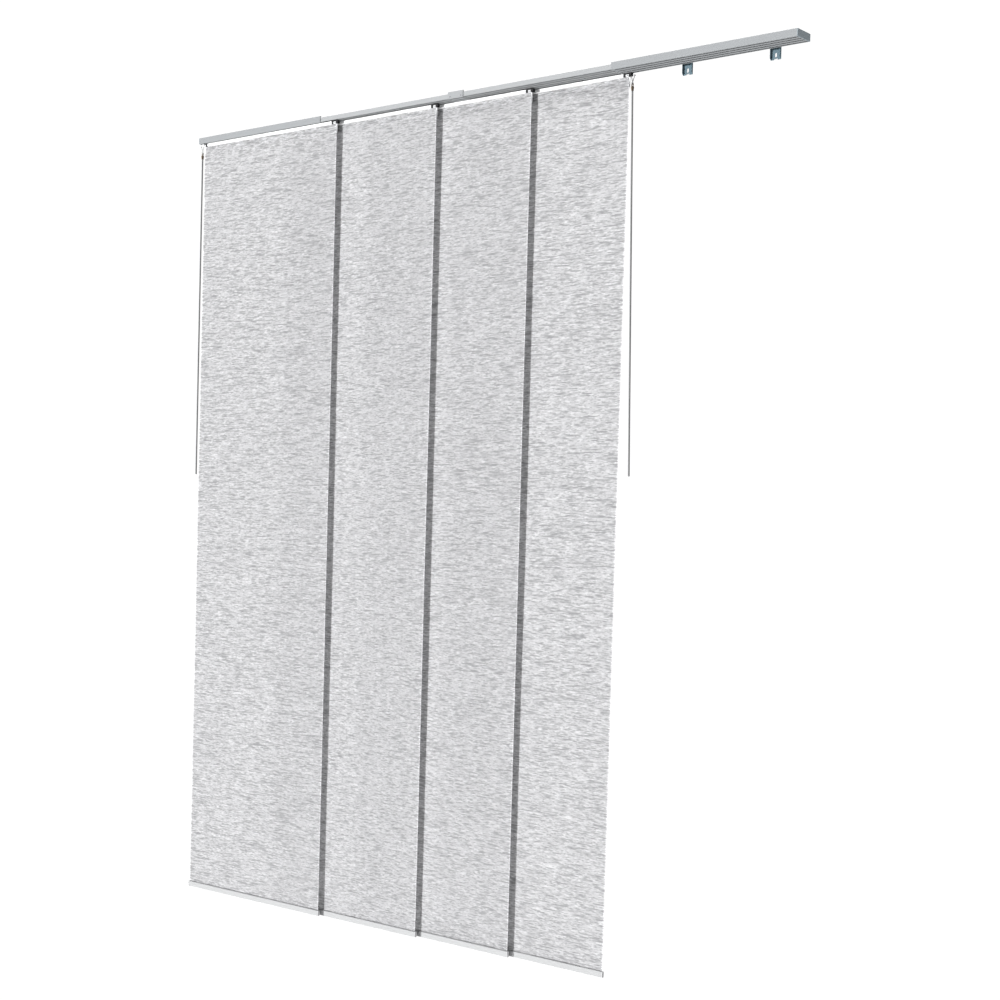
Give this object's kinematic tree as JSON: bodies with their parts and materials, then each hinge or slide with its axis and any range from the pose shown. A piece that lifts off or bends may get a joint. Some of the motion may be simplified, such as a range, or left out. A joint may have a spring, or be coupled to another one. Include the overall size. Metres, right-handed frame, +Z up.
{
  "type": "panel track blind",
  "caption": "Telescoping multi-lane panel track blind with flat fabric panels that slide past each other, weighted bottom rails, wall brackets and draw wands.",
  "frame": {"origin": "on the wall plane, at the middle of the left end bracket, level with the underside of the track", "axes": "+X along the track, to the right as seen from the room; +Y into the wall; +Z up"},
  "size_m": [2.184, 0.0713, 2.4339],
  "materials": {
    "track_alloy": "satin, lightly off-white",
    "channel_alloy": "satin, lightly off-white",
    "end_cap": "grey, smooth",
    "zinc_steel": "bright zinc plate, slightly blue",
    "spring_steel": "bright",
    "screw_steel": "bright zinc plate",
    "white_carrier": "white, smooth",
    "nylon": "natural white nylon",
    "white_end": "white moulded",
    "black_socket": "black moulded",
    "hook_tape": "white woven tape",
    "panel_cloth": "light grey sheer weave with short slubs",
    "white_rail": "white, smooth",
    "white_cap": "white moulded",
    "hook_light": "pale grey moulded",
    "wand_metal": "dark antique",
    "wand_rod": "mid-grey"
  },
  "bodies": {
    "root": {"track_outer_left": "track_alloy", "end_cap_left": "end_cap", "bracket_1": "zinc_steel", "bracket_2": "zinc_steel", "clips_left": "spring_steel", "clip_screws_left": "screw_steel"},
    "inner_track": {"inner_channel_left_1": "channel_alloy", "inner_channel_left_2": "channel_alloy", "inner_channel_left_3": "channel_alloy", "inner_channel_left_4": "channel_alloy", "inner_channel_right_1": "channel_alloy", "inner_channel_right_2": "channel_alloy", "inner_channel_right_3": "channel_alloy", "inner_channel_right_4": "channel_alloy", "splice_sleeve": "track_alloy", "splice_screws": "screw_steel"},
    "outer_track_right": {"track_outer_right": "track_alloy", "end_cap_right": "end_cap", "bracket_3": "zinc_steel", "bracket_4": "zinc_steel", "clips_right": "spring_steel", "clip_screws_right": "screw_steel"},
    "panel_a": {"carrier_a": "white_carrier", "gliders_a": "nylon", "carrier_ends_a": "white_end", "wand_sockets_a": "black_socket", "hook_tape_a": "hook_tape", "fabric_a": "panel_cloth", "bottom_rail_a": "white_rail", "bottom_caps_a": "white_cap"},
    "panel_b": {"carrier_b": "white_carrier", "gliders_b": "nylon", "carrier_ends_b": "white_end", "wand_sockets_b": "black_socket", "hook_tape_b": "hook_tape", "fabric_b": "panel_cloth", "bottom_rail_b": "white_rail", "bottom_caps_b": "white_cap"},
    "panel_c": {"carrier_c": "white_carrier", "gliders_c": "nylon", "carrier_ends_c": "white_end", "wand_sockets_c": "black_socket", "hook_tape_c": "hook_tape", "fabric_c": "panel_cloth", "bottom_rail_c": "white_rail", "bottom_caps_c": "white_cap"},
    "panel_d": {"carrier_d": "white_carrier", "gliders_d": "nylon", "carrier_ends_d": "white_end", "wand_sockets_d": "black_socket", "hook_tape_d": "hook_tape", "fabric_d": "panel_cloth", "bottom_rail_d": "white_rail", "bottom_caps_d": "white_cap"},
    "wand_hook_left": {"wand_hook_left": "hook_light"},
    "wand_left": {"wand_eye_left": "wand_metal", "wand_rod_left": "wand_rod"},
    "wand_hook_right": {"wand_hook_right": "hook_light"},
    "wand_right": {"wand_eye_right": "wand_metal", "wand_rod_right": "wand_rod"}
  },
  "joints": [
    {"name": "inner_track_slide", "type": "slide", "parent": "root", "child": "inner_track", "axis": [1, 0, 0], "range_m": [-0.51, 0]},
    {"name": "outer_track_slide", "type": "slide", "parent": "inner_track", "child": "outer_track_right", "axis": [1, 0, 0], "range_m": [-0.51, 0]},
    {"name": "panel_a_slide", "type": "slide", "parent": "root", "child": "panel_a", "axis": [1, 0, 0], "range_m": [-0.0284, 1.5766]},
    {"name": "panel_b_slide", "type": "slide", "parent": "root", "child": "panel_b", "axis": [1, 0, 0], "range_m": [-0.4146, 1.1904]},
    {"name": "panel_c_slide", "type": "slide", "parent": "root", "child": "panel_c", "axis": [1, 0, 0], "range_m": [-0.7494, 0.8556]},
    {"name": "panel_d_slide", "type": "slide", "parent": "root", "child": "panel_d", "axis": [1, 0, 0], "range_m": [-1.066, 0.539]},
    {"name": "wand_hook_left_swing", "type": "hinge", "parent": "panel_a", "child": "wand_hook_left", "pos_m": [-0.0836, -0.0618, -0.0052], "axis": [1, 0, 0], "range_deg": [-25, 0]},
    {"name": "wand_left_tilt", "type": "hinge", "parent": "wand_hook_left", "child": "wand_left", "pos_m": [-0.0891, -0.0618, -0.0316], "axis": [0, 1, 0], "range_deg": [0, 45]},
    {"name": "wand_hook_right_swing", "type": "hinge", "parent": "panel_d", "child": "wand_hook_right", "pos_m": [1.559, -0.0162, -0.0052], "axis": [1, 0, 0], "range_deg": [-25, 0]},
    {"name": "wand_right_tilt", "type": "hinge", "parent": "wand_hook_right", "child": "wand_right", "pos_m": [1.5645, -0.0162, -0.0316], "axis": [0, 1, 0], "range_deg": [-43.5, 1.5]}
  ]
}
